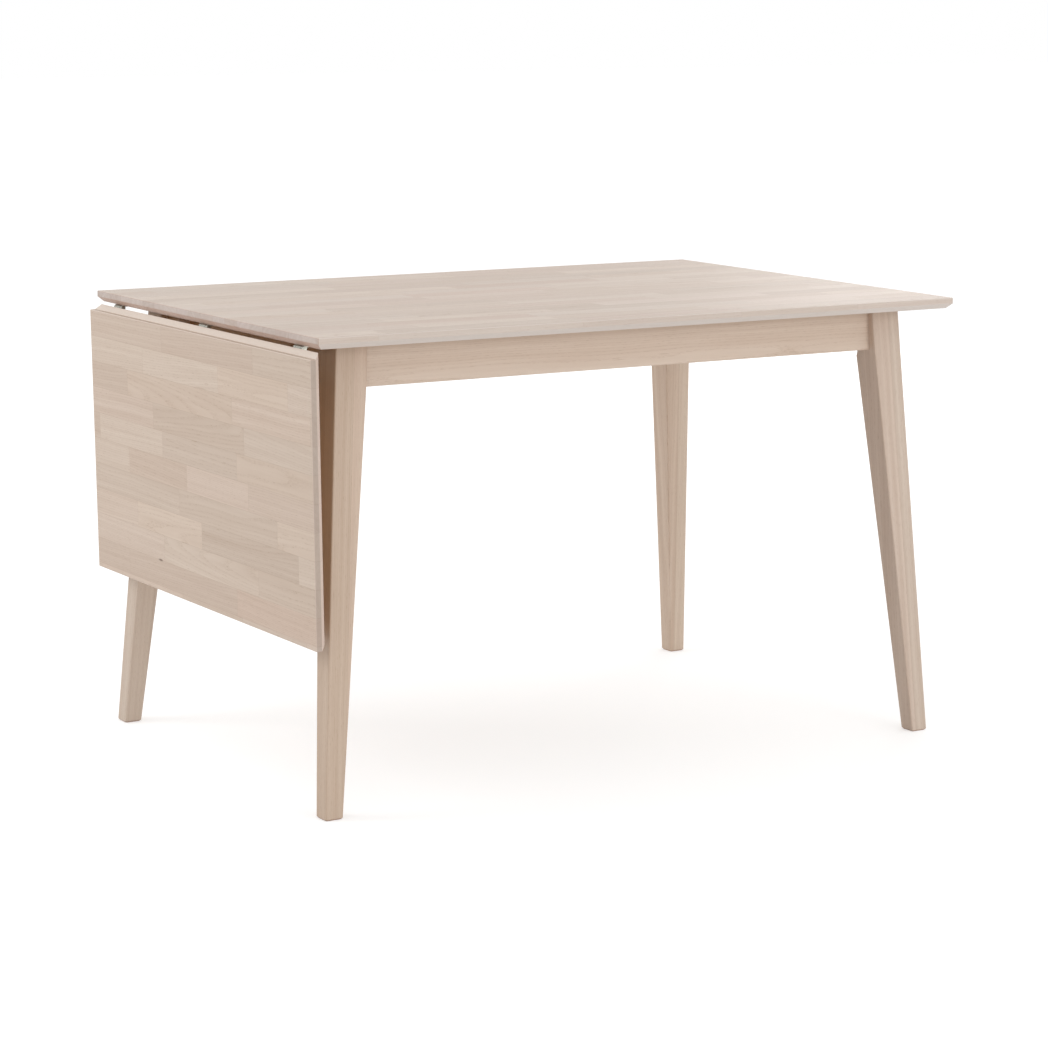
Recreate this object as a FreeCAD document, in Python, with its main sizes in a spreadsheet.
"""Dining table with one drop leaf, in laminated oak.

Frame: the table stands on Z = 0. +X points away from the drop leaf, -Y is the front long side.
The origin is the middle of the bounding box on the floor, so the fixed top, which has the hanging
leaf on one side of it only, stands FRAME_SHIFT towards +X. Sizes are in millimetres.
"""
import FreeCAD, Part
import os
import Sketcher
from FreeCAD import Placement, Rotation, Vector

doc = FreeCAD.newDocument("drop_leaf_table")

# ---------------------------------------------------------------- driving dimensions

SIZES = (
    ("top_length", 1200, "fixed top, along X"),
    ("top_width", 800, "fixed top and leaf, along Y"),
    ("table_height", 745, "floor to the upper face of the top"),
    ("board_thick", 18, "top and leaf"),
    ("edge_bevel", 8.5, "45 degree bevel under the edges of the top and leaf"),
    ("edge_round", 1.2, "rounding of the edges that a hand meets"),
    ("joint_gap", 1, "between the top and the raised leaf"),
    ("leaf_face", 443, "show face of the leaf, away from the joint"),
    ("hang_angle", 1, "the hanging leaf leans in by this many degrees"),
    ("foot_inset_x", 16, "end of the top to a leg's outer face on the floor"),
    ("foot_inset_y", 17, "long side of the top to a leg's outer face on the floor"),
    ("leg_splay", 48.5, "a leg leans out by this much both ways, from the top to the floor"),
    ("leg_section", 55, "square section of a leg down to the foot of the rails"),
    ("foot_section", 31, "square section of a leg on the floor"),
    ("leg_round", 2.5, "rounding of the legs' long edges"),
    ("foot_chamfer", 2.5, "chamfer round the foot of a leg"),
    ("flat_offset", 22, "rails' inner corner to the flat on the leg's inner corner"),
    ("flat_runout", 45, "cutter radius at the lower end of that flat"),
    ("rail_height", 71, "all rails"),
    ("rail_thick", 20, "all rails"),
    ("rail_setback", 11, "leg's outer face to the rail's outer face, just under the top"),
    ("cross_rail_x", 200, "middle of the top to the cross rail"),
    ("dowel_radius", 4, "dowels at the ends of the cross rail"),
    ("dowel_length", 32, "dowels at the ends of the cross rail"),
    ("dowel_pitch", 36, "between the two dowels of one end"),
    ("dowel_depth", 10, "dowel hole in a long rail"),
    ("bearer_width", 40, "pull-out bearer, along Y"),
    ("bearer_height", 28, "pull-out bearer"),
    ("bearer_length", 660, "pull-out bearer, along X"),
    ("bearer_gap", 16, "corner bracket's flange to a bearer"),
    ("bearer_proud", 8, "end of a pushed-in bearer beyond the rail"),
    ("bearer_chamfer", 6, "under the bearer's outer end"),
    ("slide_clear", 0.4, "round a bearer in its notches"),
    ("stop_radius", 5, "stop dowel of a bearer"),
    ("stop_drop", 12, "stop dowel below the bearer"),
    ("hinge_length", 30, "butt hinge, along Y"),
    ("hinge_inset", 74, "board's side edge to the middle of an outer hinge"),
    ("plate_width", 30, "hinge pin's axis to the edge of a hinge plate"),
    ("plate_thick", 2, "all plates and sheet metal fittings"),
    ("barrel_radius", 3.7, "hinge barrel"),
    ("hinge_clear", 0.3, "hinge barrel to the boards it turns past"),
    ("end_knuckle", 7.5, "end of the pin to the joint between two knuckles"),
    ("knuckle_gap", 0.8, "between two knuckles"),
    ("pin_radius", 1.6, "hinge pin"),
    ("running_clear", 0.05, "hinge pin in its knuckles"),
    ("screw_radius", 1.75, "wood screw's shank"),
    ("screw_head", 3.4, "wood screw's countersunk head, radius"),
    ("screw_length", 15, "wood screw"),
    ("fit_clear", 0.05, "screws, bolts and dowels in their holes"),
    ("bracket_height", 50, "corner bracket"),
    ("web_offset", 28, "rails' inner corner to the corner bracket's web"),
    ("flange_length", 28, "corner bracket's flange on a rail"),
    ("bracket_screws", 26, "between the two screws of a flange"),
    ("bolt_radius", 4, "hanger bolt"),
    ("bolt_length", 56, "hanger bolt"),
    ("bolt_grip", 34, "hanger bolt inside the leg"),
    ("bolt_pitch", 24, "between the two hanger bolts of a leg"),
    ("washer_radius", 9, "washer under a nut"),
    ("washer_thick", 1.6, "washer under a nut"),
    ("nut_flats", 13, "hexagon nut, across its flats"),
    ("nut_thick", 6.5, "hexagon nut"),
    ("angle_leg", 22, "angle bracket, both legs"),
    ("angle_width", 20, "angle bracket"),
    ("angle_span_x", 660, "between the outer angle brackets of a long rail"),
    ("angle_span_y", 180, "between the two angle brackets of an end rail"),
)

sheet = doc.addObject("Spreadsheet::Sheet", "sizes")
for row, (alias, size, meaning) in enumerate(SIZES, start=1):
    sheet.set(f"A{row}", meaning)
    sheet.set(f"B{row}", str(size))
    sheet.setAlias(f"B{row}", alias)
doc.recompute()

# ---------------------------------------------------------------- derived sizes, as expressions

UNDERSIDE = "(sizes.table_height - sizes.board_thick)"
RAIL_FOOT = f"({UNDERSIDE} - sizes.rail_height)"
RAIL_MIDDLE = f"({UNDERSIDE} - sizes.rail_height / 2)"

# The hinge pins lie under the joint between the top and the raised leaf.
PIVOT_DROP = "(sizes.barrel_radius + sizes.hinge_clear)"
PIVOT_X = "(-sizes.top_length / 2 + sizes.edge_bevel - sizes.joint_gap / 2)"
PIVOT_Z = f"({UNDERSIDE} - {PIVOT_DROP})"
HINGE_Y = "(sizes.top_width / 2 - sizes.hinge_inset)"
PLATE_ROOT = "(sizes.barrel_radius + 2 * sizes.hinge_clear)"

# How far the hanging leaf reaches beyond the pin: its rounded upper outer edge reaches furthest.
LEAF_REACH = (f"(({PIVOT_DROP} + sizes.board_thick - sizes.edge_round) * cos(sizes.hang_angle)"
              " - (sizes.joint_gap / 2 + sizes.edge_bevel + sizes.edge_round) * sin(sizes.hang_angle)"
              " + sizes.edge_round)")
FRAME_SHIFT = f"(({LEAF_REACH} - sizes.edge_bevel + sizes.joint_gap / 2) / 2)"

# The legs splay outwards both ways; a rail's ends follow the sloping faces of the legs.
FOOT_X = "(sizes.top_length / 2 - sizes.foot_inset_x)"
FOOT_Y = "(sizes.top_width / 2 - sizes.foot_inset_y)"
LEG_TOP_X = f"({FOOT_X} - sizes.leg_splay)"
LEG_TOP_Y = f"({FOOT_Y} - sizes.leg_splay)"
RAIL_SLOPE = f"(sizes.leg_splay * sizes.rail_height / {UNDERSIDE})"
RAIL_OUT_X = f"({LEG_TOP_X} - sizes.rail_setback)"
RAIL_OUT_Y = f"({LEG_TOP_Y} - sizes.rail_setback)"
RAIL_IN_X = f"({RAIL_OUT_X} - sizes.rail_thick)"
RAIL_IN_Y = f"({RAIL_OUT_Y} - sizes.rail_thick)"

BEARER_TIP = f"({RAIL_OUT_X} + sizes.bearer_proud)"
CROSS_OUT_X = "(sizes.cross_rail_x + sizes.rail_thick / 2)"
CROSS_IN_X = "(sizes.cross_rail_x - sizes.rail_thick / 2)"
STOP_X = f"({CROSS_OUT_X} + sizes.stop_radius + sizes.slide_clear)"

PILOT_RADIUS = "(sizes.screw_radius + sizes.fit_clear)"
PILOT_DEPTH = "(sizes.screw_length - sizes.plate_thick + 0.5)"
BRACKET_REACH = "(sizes.web_offset * sqrt(2) + sizes.flange_length)"
FLANGE_SCREW = f"({BRACKET_REACH} - sizes.flange_length / 2)"
BEARER_Y = f"({RAIL_IN_Y} - {BRACKET_REACH} - sizes.bearer_gap - sizes.bearer_width / 2)"
ANGLE_SCREW = "(sizes.angle_leg * 0.55)"
PLATE_SCREWS = (("sizes.plate_width * 0.72", "sizes.hinge_length * 0.32"),
                ("sizes.plate_width * 0.72", "-sizes.hinge_length * 0.32"),
                ("sizes.plate_width * 0.42", "0"))

FRONT, BACK, LEAF_END, FAR_END = -1, 1, -1, 1
PLANES = {"XY": "XY_Plane", "XZ": "XZ_Plane", "YZ": "YZ_Plane"}


def value(expression):
    """The number that an expression on the sheet gives."""
    result = sheet.evalExpression(expression)
    return float(getattr(result, "Value", result))


# ---------------------------------------------------------------- ways of making pieces

def bind(thing, **expressions):
    for name, expression in expressions.items():
        thing.setExpression(name, expression)
    return thing


def place(thing, x="0", y="0", z="0", turn=None):
    """Puts a thing at a place given by expressions, turned by a Rotation."""
    thing.Placement = Placement(Vector(0, 0, 0), turn or Rotation())
    for axis, expression in (("x", x), ("y", y), ("z", z)):
        thing.setExpression(f"Placement.Base.{axis}", expression)
    return thing


def place_in_table(thing, x="0", y="0", z="0", turn=None):
    """As place, from the middle of the fixed top, on the floor."""
    return place(thing, f"{FRAME_SHIFT} + {x}", y, z, turn)


def new_body(name):
    """An empty body whose Label names its file."""
    body = doc.addObject("PartDesign::Body", name)
    body.Label = name
    return body


def new_sketch(body, name, plane, offset="0"):
    sketch = body.newObject("Sketcher::SketchObject", f"{body.Name}_{name}")
    role = PLANES[plane]
    base = next(item for item in body.Origin.OriginFeatures if item.Role == role)
    sketch.AttachmentSupport = [(base, "")]
    sketch.MapMode = "FlatFace"
    sketch.setExpression("AttachmentOffset.Base.z", offset)
    return sketch


def pin_point(sketch, element, point, x, y):
    """Ties a point of a sketch to two expressions, measured from the sketch's origin."""
    for kind, expression, axis in (("DistanceX", x, -2), ("DistanceY", y, -1)):
        if expression == "0":
            sketch.addConstraint(Sketcher.Constraint("PointOnObject", element, point, axis))
        else:
            size = value(expression)
            number = sketch.addConstraint(Sketcher.Constraint(kind, -1, 1, element, point, size))
            sketch.setExpression(f"Constraints[{number}]", expression)


def draw_outline(sketch, corners):
    """Draws a closed outline with straight sides; its corners are pairs of expressions."""
    first = sketch.GeometryCount
    points = [Vector(value(x), value(y), 0) for x, y in corners]
    count = len(points)
    for index, point in enumerate(points):
        sketch.addGeometry(Part.LineSegment(point, points[(index + 1) % count]), False)
    for index in range(count):
        follower = first + (index + 1) % count
        sketch.addConstraint(Sketcher.Constraint("Coincident", first + index, 2, follower, 1))
    for index, (x, y) in enumerate(corners):
        pin_point(sketch, first + index, 1, x, y)
    return first


def round_corner(sketch, side, radius):
    """Puts an arc between a side of an outline and the next one."""
    sketch.fillet(side, 2, value(radius), True, True)
    arc = max(number for number, item in enumerate(sketch.Geometry)
              if item.TypeId == "Part::GeomArcOfCircle")
    number = sketch.addConstraint(Sketcher.Constraint("Radius", arc, value(radius)))
    sketch.setExpression(f"Constraints[{number}]", radius)


def draw_circles(sketch, centres, radius):
    for x, y in centres:
        circle = Part.Circle(Vector(value(x), value(y), 0), Vector(0, 0, 1), value(radius))
        element = sketch.addGeometry(circle, False)
        number = sketch.addConstraint(Sketcher.Constraint("Radius", element, value(radius)))
        sketch.setExpression(f"Constraints[{number}]", radius)
        pin_point(sketch, element, 3, x, y)


def pad(body, sketch, length, side="Symmetric"):
    feature = body.newObject("PartDesign::Pad", f"{body.Name}_pad")
    feature.Profile = sketch
    feature.SideType = side
    return bind(feature, Length=length)


def add_box(body, kind, name, corner, size):
    """A box added to or cut from a body: its lowest corner and its size along X, Y and Z."""
    box = body.newObject(f"PartDesign::{kind}Box", f"{body.Name}_{name}")
    bind(box, Length=size[0], Width=size[1], Height=size[2])
    return place(box, *corner)


def add_cylinder(body, kind, name, start, radius, length, turn=None):
    cylinder = body.newObject(f"PartDesign::{kind}Cylinder", f"{body.Name}_{name}")
    bind(cylinder, Radius=radius, Height=length)
    return place(cylinder, *start, turn)


def drill(body, name, plane, offset, centres, radius, depth, into_normal):
    """Blind round holes from a plane, along its normal or against it."""
    sketch = new_sketch(body, f"{name}_centres", plane, offset)
    draw_circles(sketch, centres, radius)
    doc.recompute()
    before = body.Shape.Volume
    holes = body.newObject("PartDesign::Pocket", f"{body.Name}_{name}")
    holes.Profile = sketch
    holes.Type = "Length"
    holes.Reversed = into_normal
    bind(holes, Length=depth)
    doc.recompute()
    if body.Shape.Volume > before - 1:
        raise RuntimeError(f"{body.Name}: the holes {name} cut nothing")


def countersink(body, name, plane, offset, centres, into_normal):
    """Screw holes through a plate, countersunk on the sketch's side."""
    sketch = new_sketch(body, f"{name}_centres", plane, offset)
    draw_circles(sketch, centres, PILOT_RADIUS)
    doc.recompute()
    before = body.Shape.Volume
    hole = body.newObject("PartDesign::Hole", f"{body.Name}_{name}")
    hole.Profile = sketch
    doc.recompute()
    hole.DepthType = "Dimension"
    hole.DrillPoint = "Flat"
    hole.HoleCutType = "Countersink"
    hole.HoleCutCustomValues = True
    hole.HoleCutCountersinkAngle = 90
    hole.Reversed = into_normal
    bind(hole, Diameter=f"2 * {PILOT_RADIUS}", Depth="sizes.plate_thick + 1",
         HoleCutDiameter="2 * (sizes.screw_head + sizes.fit_clear)")
    doc.recompute()
    if body.Shape.Volume > before - 1:
        raise RuntimeError(f"{body.Name}: the holes {name} cut nothing")


def dress_edges(body, kind, name, size, chosen):
    """Rounds or chamfers the edges of a body that the function chosen picks."""
    doc.recompute()
    base = body.Tip
    edges = [f"Edge{number}" for number, edge in enumerate(base.Shape.Edges, start=1) if chosen(edge)]
    feature = body.newObject(f"PartDesign::{kind}", f"{body.Name}_{name}")
    feature.Base = (base, edges)
    if kind == "Fillet":
        bind(feature, Radius=size)
    else:
        bind(feature, Size=size)
    doc.recompute()


def copies(name, template, places):
    """One node of like pieces: each is the template at a Placement of its own."""
    links = []
    for number, (x, y, z, turn) in enumerate(places, start=1):
        link = doc.addObject("App::Link", f"{name}_{number}")
        link.LinkedObject = template
        links.append(place_in_table(link, x, y, z, turn))
    group = doc.addObject("Part::Compound", name)
    group.Label = name
    group.Links = links
    return group


def lowest(edge):
    return min(vertex.Point.z for vertex in edge.Vertexes)


def highest(edge):
    return max(vertex.Point.z for vertex in edge.Vertexes)


# ---------------------------------------------------------------- top and leaf

def make_top():
    """The fixed top, from its underside up, bevelled below all four edges."""
    body = new_body("table_top")
    sketch = new_sketch(body, "outline", "XY")
    half_x, half_y = "sizes.top_length / 2", "sizes.top_width / 2"
    draw_outline(sketch, [(f"-{half_x}", f"-{half_y}"), (half_x, f"-{half_y}"),
                          (half_x, half_y), (f"-{half_x}", half_y)])
    pad(body, sketch, "sizes.board_thick", "One side")
    dress_edges(body, "Chamfer", "bevel", "sizes.edge_bevel", lambda edge: highest(edge) < 0.1)
    dress_edges(body, "Fillet", "rounding", "sizes.edge_round", lambda edge: lowest(edge) > 0.1)
    hinge_screws = [(f"{PIVOT_X} + {x}", f"{row} + {y}") for row in HINGE_ROWS for x, y in PLATE_SCREWS]
    angle_screws = [(f"{x} + {reach_x} * {ANGLE_SCREW}", f"{y} + {reach_y} * {ANGLE_SCREW}")
                    for x, y, reach_x, reach_y in ANGLE_PLACES]
    drill(body, "pilots", "XY", "0", hinge_screws + angle_screws, PILOT_RADIUS, PILOT_DEPTH, True)
    return place_in_table(body, z=UNDERSIDE)


def make_leaf():
    """The leaf, drawn as it is when raised, from the hinge pin's axis, and then hung.

    Its joint edge is the counterpart of the top's bevel: a lip that lies under it.
    """
    body = new_body("drop_leaf")
    sketch = new_sketch(body, "profile", "XZ")
    lip = "-sizes.joint_gap / 2"
    low, high = PIVOT_DROP, f"{PIVOT_DROP} + sizes.board_thick"
    bevel = f"{PIVOT_DROP} + sizes.edge_bevel"
    draw_outline(sketch, [(lip, low),
                          (f"{lip} - sizes.edge_bevel", bevel),
                          (f"{lip} - sizes.edge_bevel", high),
                          (f"{lip} - sizes.edge_bevel - sizes.leaf_face", high),
                          (f"{lip} - sizes.edge_bevel - sizes.leaf_face", bevel),
                          (f"{lip} - sizes.leaf_face", low)])
    pad(body, sketch, "sizes.top_width")
    underside = value(low) + 0.1

    def is_side(edge):
        ends = [vertex.Point for vertex in edge.Vertexes]
        return highest(edge) < underside and abs(ends[0].y - ends[1].y) < 0.1

    dress_edges(body, "Chamfer", "bevel", "sizes.edge_bevel", is_side)
    dress_edges(body, "Fillet", "rounding", "sizes.edge_round", lambda edge: lowest(edge) > underside)
    screws = [(f"-{x}", f"{row} + {y}") for row in HINGE_ROWS for x, y in PLATE_SCREWS]
    drill(body, "pilots", "XY", PIVOT_DROP, screws, PILOT_RADIUS, PILOT_DEPTH, True)
    return hang(body)


def hang(thing, y="0"):
    """Puts a piece that is drawn for the raised leaf where the hanging leaf has it."""
    place_in_table(thing, PIVOT_X, y, PIVOT_Z, Rotation(Vector(0, -1, 0), 90))
    thing.setExpression("Placement.Rotation.Angle", "90 + sizes.hang_angle")
    return thing


# ---------------------------------------------------------------- hinges

def make_hinge_plate(name, side, knuckle_cuts):
    """A plate of a butt hinge opened flat, from the middle of its pin's axis, the boards above it.

    side is 1 for the plate under the top and -1 for the plate under the raised leaf. The stretches of
    knuckle_cuts, each from a place to a place along the pin, are left free for the other plate.
    """
    body = new_body(name)
    start = "-sizes.hinge_length / 2"
    floor = f"{PIVOT_DROP} - sizes.plate_thick"
    along_y = Rotation(Vector(1, 0, 0), -90)
    plate_x = PLATE_ROOT if side > 0 else "-sizes.plate_width"
    add_box(body, "Additive", "plate", (plate_x, start, floor),
            (f"sizes.plate_width - {PLATE_ROOT}", "sizes.hinge_length", "sizes.plate_thick"))
    dress_edges(body, "Fillet", "corners", "sizes.plate_thick", is_far_corner)
    tab_x = "0" if side > 0 else f"-{PLATE_ROOT}"
    add_box(body, "Additive", "tab", (tab_x, start, floor),
            (PLATE_ROOT, "sizes.hinge_length", "sizes.plate_thick"))
    add_cylinder(body, "Additive", "barrel", ("0", start, "0"),
                 "sizes.barrel_radius", "sizes.hinge_length", along_y)
    cut_x = "-2 * sizes.barrel_radius" if side > 0 else f"-{PLATE_ROOT}"
    for number, (low, high) in enumerate(knuckle_cuts):
        add_box(body, "Subtractive", f"gap_{number}", (cut_x, low, "-2 * sizes.barrel_radius"),
                (f"2 * sizes.barrel_radius + {PLATE_ROOT}", f"{high} - ({low})",
                 "4 * sizes.barrel_radius"))
    add_cylinder(body, "Subtractive", "bore", ("0", "-sizes.hinge_length", "0"),
                 "sizes.pin_radius + sizes.running_clear", "2 * sizes.hinge_length", along_y)
    screws = [(f"{side} * {x}", y) for x, y in PLATE_SCREWS]
    countersink(body, "screw_holes", "XY", floor, screws, True)
    return body


def is_far_corner(edge):
    """Whether an edge of a hinge plate is an upright one away from the pin."""
    return (highest(edge) - lowest(edge) > 0.1
            and abs(edge.Vertexes[0].Point.x) > value("sizes.plate_width") - 0.1)


# Each top plate has a knuckle at both ends of the pin, and the leaf plate's long one is between them.
END_KNUCKLE = "(sizes.hinge_length / 2 - sizes.end_knuckle)"
TOP_PLATE_CUTS = ((f"-{END_KNUCKLE} - sizes.knuckle_gap / 2", f"{END_KNUCKLE} + sizes.knuckle_gap / 2"),)
LEAF_PLATE_CUTS = (("-sizes.hinge_length", f"-{END_KNUCKLE} + sizes.knuckle_gap / 2"),
                   (f"{END_KNUCKLE} - sizes.knuckle_gap / 2", "sizes.hinge_length"))
HINGE_ROWS = (f"-{HINGE_Y}", "0", HINGE_Y)
HINGE_NAMES = ("front", "middle", "back")


def make_hinges():
    pieces = []
    for name, row in zip(HINGE_NAMES, HINGE_ROWS):
        top_plate = make_hinge_plate(f"hinge_{name}_top_plate", 1, TOP_PLATE_CUTS)
        pieces.append(place_in_table(top_plate, PIVOT_X, row, PIVOT_Z))
        leaf_plate = make_hinge_plate(f"hinge_{name}_leaf_plate", -1, LEAF_PLATE_CUTS)
        pieces.append(hang(leaf_plate, row))
        pin = doc.addObject("Part::Cylinder", f"hinge_{name}_pin")
        pin.Label = pin.Name
        bind(pin, Radius="sizes.pin_radius", Height="sizes.hinge_length")
        place_in_table(pin, PIVOT_X, f"{row} - sizes.hinge_length / 2", PIVOT_Z,
                       Rotation(Vector(1, 0, 0), -90))
        pieces.append(pin)
    return pieces


# ---------------------------------------------------------------- legs and rails

def make_leg(name, side_x, side_y):
    """A splayed leg, from the outer corner of its foot; its two inner faces taper below the rails."""
    body = new_body(name)
    chamfer = "sizes.foot_chamfer"
    levels = (("0", chamfer, f"(sizes.foot_section - 2 * {chamfer})"),
              (chamfer, "0", "sizes.foot_section"),
              (RAIL_FOOT, f"({RAIL_FOOT} * sizes.leg_splay / {UNDERSIDE})", "sizes.leg_section"),
              (UNDERSIDE, "sizes.leg_splay", "sizes.leg_section"))
    sections = []
    for number, (height, near, size) in enumerate(levels):
        sketch = new_sketch(body, f"section_{number}", "XY", height)
        far = f"({near} + {size})"
        draw_outline(sketch, [(f"-{side_x} * {x}", f"-{side_y} * {y}")
                              for x, y in ((near, near), (far, near), (far, far), (near, far))])
        for side in range(4):
            round_corner(sketch, side, "sizes.leg_round")
        sections.append(sketch)
    leg = body.newObject("PartDesign::AdditiveLoft", f"{name}_shaft")
    leg.Profile = sections[0]
    leg.Sections = sections[1:]
    leg.Ruled = True
    cut_corner(body, side_x, side_y)
    return place_in_table(body, f"{side_x} * {FOOT_X}", f"{side_y} * {FOOT_Y}")


def cut_corner(body, side_x, side_y):
    """The upright flat on a leg's inner corner, its round run-out below the rails, and the bolt holes."""
    corner_x = f"{side_x} * ({RAIL_IN_X} - {FOOT_X})"
    corner_y = f"{side_y} * ({RAIL_IN_Y} - {FOOT_Y})"
    inward = Vector(-side_x, -side_y, 0)
    turn = Rotation(Vector(1, 0, 0), inward)
    run = "sizes.flat_runout"
    width = "4 * sizes.leg_section"

    def on_diagonal(distance, across="0"):
        """A place at a distance inwards from the rails' inner corner and across that way."""
        return (f"{corner_x} - {side_x} * ({distance}) * sqrt(0.5) + {side_y} * ({across}) * sqrt(0.5)",
                f"{corner_y} - {side_y} * ({distance}) * sqrt(0.5) - {side_x} * ({across}) * sqrt(0.5)")

    flat = body.newObject("PartDesign::SubtractiveBox", f"{body.Name}_flat")
    bind(flat, Length=run, Width=width, Height="2 * sizes.rail_height")
    place(flat, *on_diagonal("sizes.flat_offset", "-2 * sizes.leg_section"), RAIL_FOOT, turn)
    across = Rotation(Vector(0, 0, 1), Vector(side_y, -side_x, 0))
    add_cylinder(body, "Subtractive", "runout",
                 (*on_diagonal(f"sizes.flat_offset + {run}", "-2 * sizes.leg_section"), RAIL_FOOT),
                 run, width, across)
    for number, bolt_z in enumerate(BOLT_HEIGHTS):
        add_cylinder(body, "Subtractive", f"bolt_hole_{number}",
                     (*on_diagonal("sizes.flat_offset - sizes.bolt_grip - 1"), bolt_z),
                     "sizes.bolt_radius + sizes.fit_clear", "sizes.bolt_grip + sizes.flat_offset",
                     Rotation(Vector(0, 0, 1), inward))


BOLT_HEIGHTS = (f"{RAIL_MIDDLE} - sizes.bolt_pitch / 2", f"{RAIL_MIDDLE} + sizes.bolt_pitch / 2")


def make_rail(name, plane, half_length, x, y):
    """A rail between two legs; its ends slope with the legs, so it is longer at its foot."""
    body = new_body(name)
    sketch = new_sketch(body, "outline", plane)
    top, foot = half_length, f"({half_length} + {RAIL_SLOPE})"
    draw_outline(sketch, [(f"-{top}", "0"), (top, "0"), (foot, "-sizes.rail_height"),
                          (f"-{foot}", "-sizes.rail_height")])
    pad(body, sketch, "sizes.rail_thick")
    lower = -value("sizes.rail_height") + 0.1
    length = value(half_length)
    dress_edges(body, "Fillet", "lower_edges", "sizes.edge_round",
                lambda edge: highest(edge) < lower and edge.Length > length)
    return place_in_table(body, x, y, UNDERSIDE)


def make_long_rail(name, side):
    length = f"({LEG_TOP_X} - sizes.leg_section)"
    middle = f"{side} * ({RAIL_OUT_Y} - sizes.rail_thick / 2)"
    rail = make_rail(name, "XZ", length, "0", middle)
    # On an XZ sketch the offset runs towards -Y, and the screws come from inside the frame.
    inner_face = f"{side} * sizes.rail_thick / 2"
    screws = [(x, f"-{ANGLE_SCREW}") for x in LONG_RAIL_ANGLES]
    screws += bracket_screws(f"({RAIL_IN_X} - {FLANGE_SCREW})")
    drill(rail, "pilots", "XZ", inner_face, screws, PILOT_RADIUS, PILOT_DEPTH, side < 0)
    dowels = [("-sizes.cross_rail_x", f"-sizes.rail_height / 2 + {shift}") for shift in DOWEL_SHIFTS]
    drill(rail, "dowel_holes", "XZ", inner_face, dowels, "sizes.dowel_radius + sizes.fit_clear",
          "sizes.dowel_depth", side < 0)
    return rail


def make_end_rail(name, side):
    length = f"({LEG_TOP_Y} - sizes.leg_section)"
    middle = f"{side} * ({RAIL_OUT_X} - sizes.rail_thick / 2)"
    rail = make_rail(name, "YZ", length, middle, "0")
    inner_face = f"-{side} * sizes.rail_thick / 2"
    screws = [(y, f"-{ANGLE_SCREW}") for y in END_RAIL_ANGLES]
    screws += bracket_screws(f"({RAIL_IN_Y} - {FLANGE_SCREW})")
    drill(rail, "pilots", "YZ", inner_face, screws, PILOT_RADIUS, PILOT_DEPTH, side > 0)
    if side == LEAF_END:
        cut_notches(rail)
    return rail


def bracket_screws(distance):
    """The screws of the corner brackets' flanges on a rail, both ends of it."""
    return [(f"{end} * {distance}", f"-sizes.rail_height / 2 + {half} * sizes.bracket_screws / 2")
            for end in (-1, 1) for half in (-1, 1)]


def cut_notches(rail):
    """The two notches in a rail's upper edge in which the bearers slide."""
    for number, side in enumerate((FRONT, BACK)):
        add_box(rail, "Subtractive", f"notch_{number}",
                ("-sizes.rail_thick",
                 f"{side} * {BEARER_Y} - sizes.bearer_width / 2 - sizes.slide_clear",
                 "-sizes.bearer_height - 2 * sizes.slide_clear"),
                ("2 * sizes.rail_thick", "sizes.bearer_width + 2 * sizes.slide_clear",
                 "2 * sizes.bearer_height"))


DOWEL_SHIFTS = ("-sizes.dowel_pitch / 2", "sizes.dowel_pitch / 2")


def make_cross_rail():
    """The rail across the frame that carries the inner halves of the bearers."""
    body = new_body("cross_rail")
    add_box(body, "Additive", "rail", ("-sizes.rail_thick / 2", f"-{RAIL_IN_Y}", "-sizes.rail_height"),
            ("sizes.rail_thick", f"2 * {RAIL_IN_Y}", "sizes.rail_height"))
    cut_notches(body)
    drill(body, "pilots", "YZ", "sizes.rail_thick / 2", [("0", f"-{ANGLE_SCREW}")],
          PILOT_RADIUS, PILOT_DEPTH, False)
    depth = "(sizes.dowel_length - sizes.dowel_depth + 1)"
    for number, shift in enumerate(DOWEL_SHIFTS):
        for side in (FRONT, BACK):
            end = f"-{RAIL_IN_Y}" if side == FRONT else f"{RAIL_IN_Y} - {depth}"
            add_cylinder(body, "Subtractive", f"dowel_hole_{number}_{side + 1}",
                         ("0", end, f"-sizes.rail_height / 2 + {shift}"),
                         "sizes.dowel_radius + sizes.fit_clear", depth, Rotation(Vector(1, 0, 0), -90))
    return place_in_table(body, "-sizes.cross_rail_x", "0", UNDERSIDE)


def make_cross_dowels():
    dowel = doc.addObject("Part::Cylinder", "dowel_template")
    bind(dowel, Radius="sizes.dowel_radius", Height="sizes.dowel_length")
    reach = f"({RAIL_IN_Y} + sizes.dowel_depth - sizes.fit_clear)"
    starts = (f"-{reach}", f"{reach} - sizes.dowel_length")
    return copies("cross_rail_dowels", dowel,
                  [("-sizes.cross_rail_x", start, f"{RAIL_MIDDLE} + {shift}", Rotation(Vector(1, 0, 0), -90))
                   for start in starts for shift in DOWEL_SHIFTS])


# ---------------------------------------------------------------- pull-out bearers

def make_bearer(name, side):
    """A pull-out bearer, from the middle of the upper edge of its outer end."""
    body = new_body(name)
    add_box(body, "Additive", "bar", ("0", "-sizes.bearer_width / 2", "-sizes.bearer_height"),
            ("sizes.bearer_length", "sizes.bearer_width", "sizes.bearer_height"))
    lower = -value("sizes.bearer_height") + 0.1

    def is_tip(edge):
        return highest(edge) < lower and max(vertex.Point.x for vertex in edge.Vertexes) < 0.1

    dress_edges(body, "Chamfer", "tip", "sizes.bearer_chamfer", is_tip)
    add_cylinder(body, "Subtractive", "stop_hole",
                 (f"{BEARER_TIP} - {STOP_X}", "0", "-2 * sizes.bearer_height"),
                 "sizes.stop_radius + sizes.fit_clear", "2 * sizes.bearer_height + 1")
    return place_in_table(body, f"-{BEARER_TIP}", f"{side} * {BEARER_Y}",
                          f"{UNDERSIDE} - sizes.slide_clear")


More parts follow.
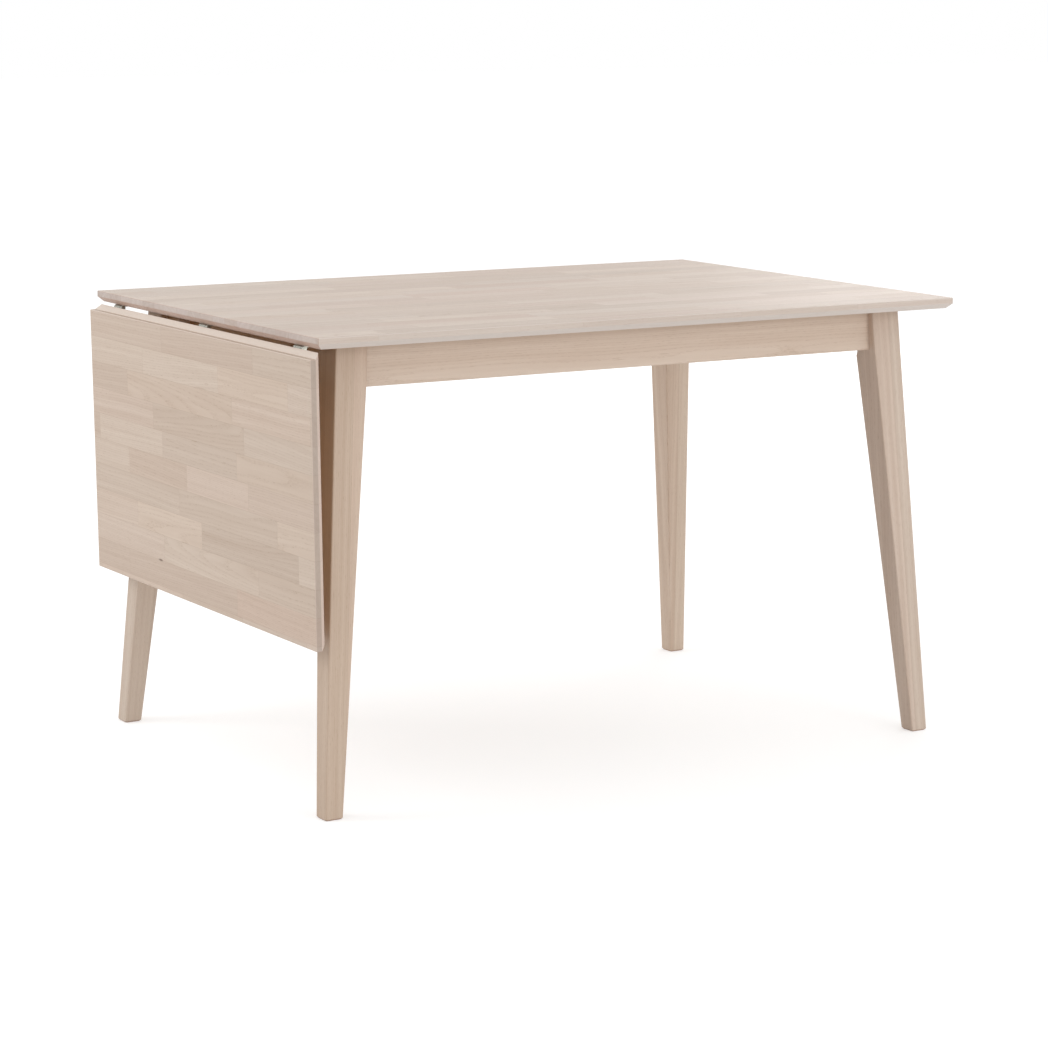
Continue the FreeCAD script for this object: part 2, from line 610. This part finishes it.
def make_bearer_stop(name, side):
    """The upright dowel that stops a bearer at the cross rail when in, at the end rail when out."""
    dowel = doc.addObject("Part::Cylinder", name)
    dowel.Label = name
    bind(dowel, Radius="sizes.stop_radius", Height="sizes.bearer_height + sizes.stop_drop - 2")
    return place_in_table(dowel, f"-{STOP_X}", f"{side} * {BEARER_Y}",
                          f"{UNDERSIDE} - sizes.slide_clear - sizes.bearer_height - sizes.stop_drop")


# ---------------------------------------------------------------- corner brackets and their bolts

CORNERS = (("front_left", LEAF_END, FRONT, 0), ("front_right", FAR_END, FRONT, 90),
           ("back_right", FAR_END, BACK, 180), ("back_left", LEAF_END, BACK, 270))


def make_corner_bracket(name, side_x, side_y, quarter):
    """A bent plate: a web across the corner between two flanges, from the rails' inner corner."""
    body = new_body(f"corner_bracket_{name}")
    bend = "sizes.web_offset * sqrt(2)"
    inner = f"({bend} + (sqrt(2) - 1) * sizes.plate_thick)"
    end = BRACKET_REACH
    thick = "sizes.plate_thick"
    sketch = new_sketch(body, "outline", "XY")
    draw_outline(sketch, [(bend, "0"), (end, "0"), (end, thick), (inner, thick),
                          (thick, inner), (thick, end), ("0", end), ("0", bend)])
    pad(body, sketch, "sizes.bracket_height")
    heights = ("-sizes.bracket_screws / 2", "sizes.bracket_screws / 2")
    screws = [(FLANGE_SCREW, height) for height in heights]
    countersink(body, "screws_x", "XZ", f"-{thick}", screws, True)
    countersink(body, "screws_y", "YZ", thick, screws, False)
    for number, half in enumerate((-1, 1)):
        add_cylinder(body, "Subtractive", f"bolt_hole_{number}",
                     ("0", "0", f"{half} * sizes.bolt_pitch / 2"), "sizes.bolt_radius + 0.5",
                     "2 * sizes.web_offset", Rotation(Vector(0, 0, 1), Vector(1, 1, 0)))
    return place_in_table(body, f"{side_x} * {RAIL_IN_X}", f"{side_y} * {RAIL_IN_Y}", RAIL_MIDDLE,
                          Rotation(Vector(0, 0, 1), quarter))


def bolt_places(distance):
    """Both bolts of each leg, at a distance inwards from the rails' inner corner."""
    return [(f"{side_x} * ({RAIL_IN_X} - ({distance}) * sqrt(0.5))",
             f"{side_y} * ({RAIL_IN_Y} - ({distance}) * sqrt(0.5))",
             height, Rotation(Vector(0, 0, 1), Vector(-side_x, -side_y, 0)))
            for _, side_x, side_y, _ in CORNERS for height in BOLT_HEIGHTS]


def make_bolt_sets():
    """Hanger bolts, and the washers and nuts that draw the brackets' webs towards the legs."""
    bolt = doc.addObject("Part::Cylinder", "bolt_template")
    bind(bolt, Radius="sizes.bolt_radius", Height="sizes.bolt_length")
    washer = make_ring("washer_template", "sizes.washer_radius", "sizes.washer_thick", None)
    nut = make_ring("nut_template", "sizes.nut_flats / sqrt(3)", "sizes.nut_thick", 6)
    seat = "sizes.web_offset + sizes.plate_thick"
    return [copies("hanger_bolts", bolt, bolt_places("sizes.flat_offset - sizes.bolt_grip")),
            copies("bolt_washers", washer, bolt_places(seat)),
            copies("bolt_nuts", nut, bolt_places(f"{seat} + sizes.washer_thick"))]


def make_ring(name, radius, thick, sides):
    """A round or many-sided disc with a hole for a hanger bolt."""
    body = new_body(name)
    if sides is None:
        add_cylinder(body, "Additive", "disc", ("0", "0", "0"), radius, thick)
    else:
        prism = body.newObject("PartDesign::AdditivePrism", f"{name}_prism")
        prism.Polygon = sides
        bind(prism, Circumradius=radius, Height=thick)
    add_cylinder(body, "Subtractive", "hole", ("0", "0", "-1"), "sizes.bolt_radius + sizes.fit_clear",
                 f"{thick} + 2")
    return body


# ---------------------------------------------------------------- screws and angle brackets

def make_screw():
    """A countersunk wood screw, from the middle of its head's face, pointing up."""
    body = new_body("screw_template")
    sketch = new_sketch(body, "half", "XZ")
    shank, head = "sizes.screw_radius", "sizes.screw_head"
    tip = "sizes.screw_length"
    draw_outline(sketch, [("0", "0"), (head, "0"), (shank, f"{head} - {shank}"),
                          (shank, f"{tip} - 2 * {shank}"), ("0", tip)])
    turned = body.newObject("PartDesign::Revolution", "screw_turned")
    turned.Profile = sketch
    turned.ReferenceAxis = (sketch, ["V_Axis"])
    turned.Angle = 360
    slot = "sizes.screw_head / 4"
    for number, (length, width) in enumerate(((head, slot), (slot, head))):
        add_box(body, "Subtractive", f"recess_{number}", (f"-{length} / 2", f"-{width} / 2", "-1"),
                (length, width, "2"))
    return body


UP = Rotation()
LONG_RAIL_ANGLES = ("-sizes.angle_span_x / 2", "0", "sizes.angle_span_x / 2")
END_RAIL_ANGLES = ("-sizes.angle_span_y / 2", "sizes.angle_span_y / 2")
# Each angle bracket: the foot of its corner on the rail, and the way it reaches from there.
ANGLE_PLACES = tuple(
    [(x, f"{side} * {RAIL_IN_Y}", 0, -side) for side in (FRONT, BACK) for x in LONG_RAIL_ANGLES]
    + [(f"{side} * {RAIL_IN_X}", y, -side, 0) for side in (LEAF_END, FAR_END) for y in END_RAIL_ANGLES]
    + [(f"-{CROSS_IN_X}", "0", 1, 0)])


def make_angle():
    """An angle bracket, from its corner: one leg under the top along +X, one down a rail."""
    body = new_body("angle_template")
    leg, width, thick = "sizes.angle_leg", "sizes.angle_width", "sizes.plate_thick"
    half = "-sizes.angle_width / 2"
    add_box(body, "Additive", "level", ("0", half, f"-{thick}"), (leg, width, thick))
    add_box(body, "Additive", "upright", ("0", half, f"-{leg}"), (thick, width, leg))
    countersink(body, "top_hole", "XY", f"-{thick}", [(ANGLE_SCREW, "0")], True)
    countersink(body, "rail_hole", "YZ", thick, [("0", f"-{ANGLE_SCREW}")], False)
    return body


def make_angles(screw):
    angle = make_angle()
    seat = "sizes.plate_thick"
    brackets = copies("top_angle_brackets", angle,
                      [(x, y, UNDERSIDE, Rotation(Vector(1, 0, 0), Vector(reach_x, reach_y, 0)))
                       for x, y, reach_x, reach_y in ANGLE_PLACES])
    into_top = [(f"{x} + {reach_x} * {ANGLE_SCREW}", f"{y} + {reach_y} * {ANGLE_SCREW}",
                 f"{UNDERSIDE} - {seat}", UP)
                for x, y, reach_x, reach_y in ANGLE_PLACES]
    into_rail = [(f"{x} + {reach_x} * {seat}", f"{y} + {reach_y} * {seat}",
                  f"{UNDERSIDE} - {ANGLE_SCREW}", Rotation(Vector(0, 0, 1), Vector(-reach_x, -reach_y, 0)))
                 for x, y, reach_x, reach_y in ANGLE_PLACES]
    return [brackets, copies("top_angle_screws", screw, into_top + into_rail)]


def make_bracket_screws(screw):
    """The screws of the corner brackets, two in each flange."""
    places = []
    for _, side_x, side_y, _ in CORNERS:
        for half in (-1, 1):
            height = f"{RAIL_MIDDLE} + {half} * sizes.bracket_screws / 2"
            places.append((f"{side_x} * ({RAIL_IN_X} - {FLANGE_SCREW})",
                           f"{side_y} * ({RAIL_IN_Y} - sizes.plate_thick)", height,
                           Rotation(Vector(0, 0, 1), Vector(0, side_y, 0))))
            places.append((f"{side_x} * ({RAIL_IN_X} - sizes.plate_thick)",
                           f"{side_y} * ({RAIL_IN_Y} - {FLANGE_SCREW})", height,
                           Rotation(Vector(0, 0, 1), Vector(side_x, 0, 0))))
    return copies("corner_bracket_screws", screw, places)


def make_hinge_screws(screw):
    """The screws of the hinge plates: in the top, and in the hanging leaf."""
    seat = f"({PIVOT_DROP} - sizes.plate_thick)"
    into_top = [(f"{PIVOT_X} + {x}", f"{row} + {y}", f"{PIVOT_Z} + {seat}", UP)
                for row in HINGE_ROWS for x, y in PLATE_SCREWS]
    leaf_screws = doc.addObject("Part::Compound", "hinge_leaf_screws")
    leaf_screws.Label = leaf_screws.Name
    links = []
    for row in HINGE_ROWS:
        for x, y in PLATE_SCREWS:
            link = doc.addObject("App::Link", f"hinge_leaf_screw_{len(links) + 1}")
            link.LinkedObject = screw
            links.append(place(link, f"-{x}", f"{row} + {y}", seat))
    leaf_screws.Links = links
    return [copies("hinge_top_screws", screw, into_top), hang(leaf_screws)]


# ---------------------------------------------------------------- the whole table

def make_table():
    screw = make_screw()
    pieces = [make_top(), make_leaf()]
    pieces += make_hinges()
    pieces += make_hinge_screws(screw)
    for name, side_x, side_y, quarter in CORNERS:
        pieces.append(make_leg(f"leg_{name}", side_x, side_y))
        pieces.append(make_corner_bracket(name, side_x, side_y, quarter))
    pieces += make_bolt_sets()
    pieces.append(make_bracket_screws(screw))
    pieces += [make_long_rail("rail_front", FRONT), make_long_rail("rail_back", BACK)]
    pieces += [make_end_rail("rail_leaf_end", LEAF_END), make_end_rail("rail_far_end", FAR_END)]
    pieces += [make_cross_rail(), make_cross_dowels()]
    for name, side in (("front", FRONT), ("back", BACK)):
        pieces += [make_bearer(f"bearer_{name}", side), make_bearer_stop(f"bearer_{name}_stop", side)]
    pieces += make_angles(screw)
    return pieces


def check(pieces):
    """Stops if the document holds a failed object or a piece that isn't a valid solid."""
    for item in doc.Objects:
        if "Invalid" in item.State or "Error" in item.State:
            raise RuntimeError(f"{item.Name} failed: {item.State}")
    for piece in pieces:
        shape = piece.Shape
        if shape.isNull() or not shape.isValid() or not shape.Solids:
            raise RuntimeError(f"{piece.Label} is not a valid solid")


def export(pieces):
    os.makedirs("parts", exist_ok=True)
    for piece in pieces:
        piece.Shape.exportStep(f"parts/{piece.Label}.step")


table = make_table()
doc.recompute()
check(table)
export(table)
